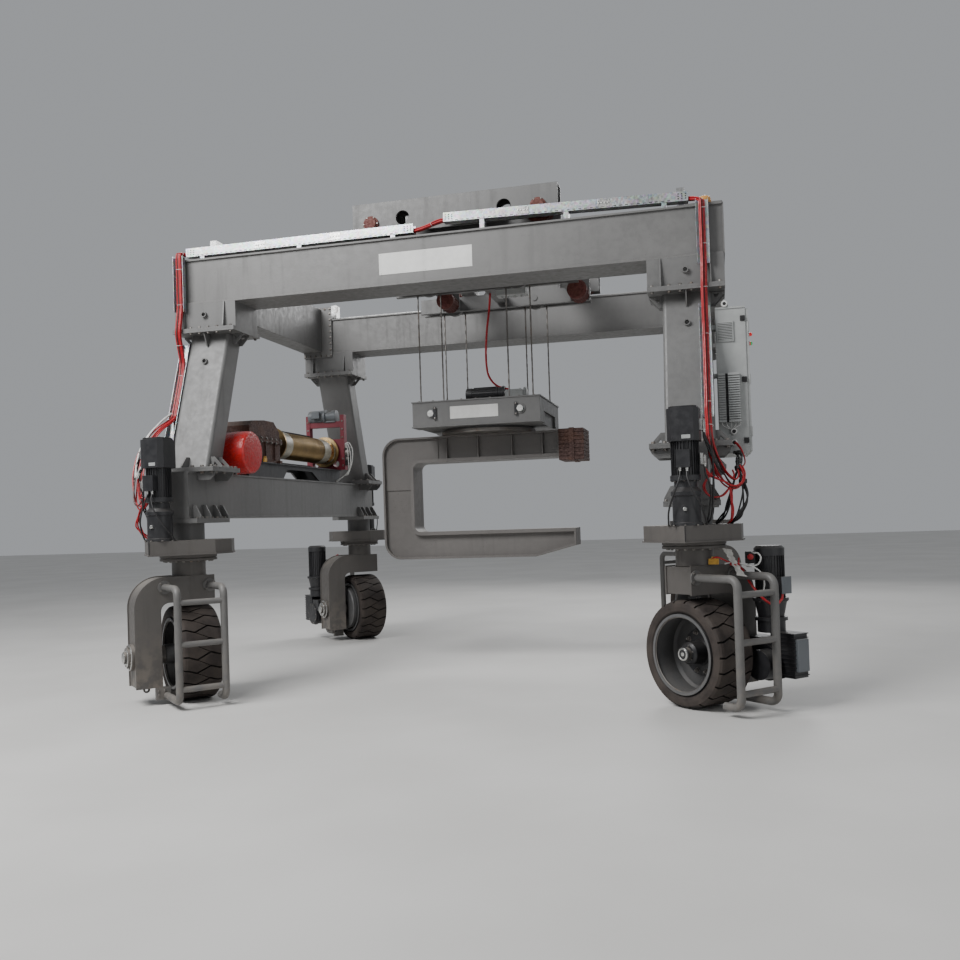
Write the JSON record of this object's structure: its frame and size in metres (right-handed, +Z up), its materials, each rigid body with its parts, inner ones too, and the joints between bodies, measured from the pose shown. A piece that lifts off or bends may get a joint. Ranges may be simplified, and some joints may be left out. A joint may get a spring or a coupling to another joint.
{
  "type": "rubber tyred gantry crane",
  "caption": "Low rubber tyred gantry crane with steered wheel corners, a trolley on two girders, a rope-hung spreader and a rotating C-shaped coil hook.",
  "frame": {"origin": "on the floor, midway between the four steering pins", "axes": "+X along the girders, +Y along the sills, +Z up"},
  "size_m": [7.3674, 6.5622, 5.3843],
  "materials": {
    "grey_paint": "satin warm grey primer",
    "black_drive": "satin black",
    "dark_steel": "greased dark steel",
    "galvanised": "galvanised",
    "red_cable": "matt red sheath",
    "red_wrap": "red film wrap",
    "brown_primer": "red-brown primer with rust",
    "crimson_paint": "satin crimson",
    "brass_drum": "dull brass coloured",
    "cabinet_paint": "light grey powder coat",
    "lamp_glass": "glossy red and green lamps",
    "amber_dome": "amber dome",
    "rim_paint": "satin grey",
    "tyre": "dusty rubber"
  },
  "bodies": {
    "frame": {"front_girder": "grey_paint", "back_girder": "grey_paint", "end_beams": "grey_paint", "saddle_blocks": "grey_paint", "front_left_leg": "grey_paint", "front_right_leg": "grey_paint", "back_left_leg": "grey_paint", "back_right_leg": "grey_paint", "left_sill": "grey_paint", "right_sill": "grey_paint", "gear_covers": "grey_paint", "steering_drives": "black_drive", "crane_rails": "dark_steel", "cable_trays": "galvanised", "power_cables": "red_cable", "winch_base": "black_drive", "winch_motor": "red_wrap", "winch_gearbox": "brown_primer", "winch_end_frame": "crimson_paint", "cabinet": "cabinet_paint", "cabinet_fittings": "cabinet_paint", "beacon": "amber_dome"},
    "front_left_fork": {"front_left_arm": "grey_paint", "front_left_guard": "grey_paint"},
    "front_right_fork": {"front_right_arm": "grey_paint", "front_right_guard": "grey_paint", "front_right_drive": "black_drive"},
    "back_left_fork": {"back_left_arm": "grey_paint", "back_left_guard": "grey_paint", "back_left_drive": "black_drive"},
    "back_right_fork": {"back_right_arm": "grey_paint", "back_right_guard": "grey_paint"},
    "front_left_wheel": {"front_left_rim": "rim_paint", "front_left_tyre": "tyre"},
    "front_right_wheel": {"front_right_rim": "rim_paint", "front_right_tyre": "tyre"},
    "back_left_wheel": {"back_left_rim": "rim_paint", "back_left_tyre": "tyre"},
    "back_right_wheel": {"back_right_rim": "rim_paint", "back_right_tyre": "tyre"},
    "trolley": {"trolley_frame": "grey_paint", "trolley_wheels": "brown_primer", "trolley_drives": "brown_primer", "hoist_ropes": "dark_steel", "spreader_cable": "red_cable"},
    "spreader": {"spreader_beam": "grey_paint", "spreader_sheaves": "galvanised", "spreader_motor": "black_drive"},
    "hook": {"coil_hook": "grey_paint", "turntable": "dark_steel", "counterweight": "brown_primer"},
    "drum": {"rope_drum": "brass_drum"},
    "door": {"cabinet_door": "cabinet_paint", "signal_lamps": "lamp_glass"}
  },
  "joints": [
    {"name": "front_left_steering", "type": "hinge", "parent": "frame", "child": "front_left_fork", "pos_m": [-2.685, -2.55, 1.64], "axis": [0, 0, 1], "range_deg": [-46, 44]},
    {"name": "front_right_steering", "type": "hinge", "parent": "frame", "child": "front_right_fork", "pos_m": [2.685, -2.55, 1.64], "axis": [0, 0, 1], "range_deg": [-46, 44]},
    {"name": "back_left_steering", "type": "hinge", "parent": "frame", "child": "back_left_fork", "pos_m": [-2.685, 2.55, 1.64], "axis": [0, 0, 1], "range_deg": [-46, 44]},
    {"name": "back_right_steering", "type": "hinge", "parent": "frame", "child": "back_right_fork", "pos_m": [2.685, 2.55, 1.64], "axis": [0, 0, 1], "range_deg": [-46, 44]},
    {"name": "front_left_rolling", "type": "hinge", "parent": "front_left_fork", "child": "front_left_wheel", "pos_m": [-2.685, -2.55, 0.508], "axis": [0.6947, 0.7193, 0], "continuous": true},
    {"name": "front_right_rolling", "type": "hinge", "parent": "front_right_fork", "child": "front_right_wheel", "pos_m": [2.685, -2.55, 0.508], "axis": [0.6947, 0.7193, 0], "continuous": true},
    {"name": "back_left_rolling", "type": "hinge", "parent": "back_left_fork", "child": "back_left_wheel", "pos_m": [-2.685, 2.55, 0.508], "axis": [0.6947, 0.7193, 0], "continuous": true},
    {"name": "back_right_rolling", "type": "hinge", "parent": "back_right_fork", "child": "back_right_wheel", "pos_m": [2.685, 2.55, 0.508], "axis": [0.6947, 0.7193, 0], "continuous": true},
    {"name": "trolley_travel", "type": "slide", "parent": "frame", "child": "trolley", "axis": [1, 0, 0], "range_m": [-0.95, 0.95]},
    {"name": "hoist", "type": "slide", "parent": "trolley", "child": "spreader", "axis": [0, 0, 1], "range_m": [-1.2, 0.9], "deforming": ["hoist_ropes", "spreader_cable"]},
    {"name": "hook_turning", "type": "hinge", "parent": "spreader", "child": "hook", "pos_m": [0.117, 0, 2.957], "axis": [0, 0, 1], "range_deg": [-135, 135]},
    {"name": "drum_turning", "type": "hinge", "parent": "frame", "child": "drum", "pos_m": [-2.685, 0.4, 2.9063], "axis": [0, 1, 0], "continuous": true},
    {"name": "door_hinge", "type": "hinge", "parent": "frame", "child": "door", "pos_m": [3.2735, -2.03, 3.1], "axis": [0, 0, -1], "range_deg": [0, 110]}
  ]
}
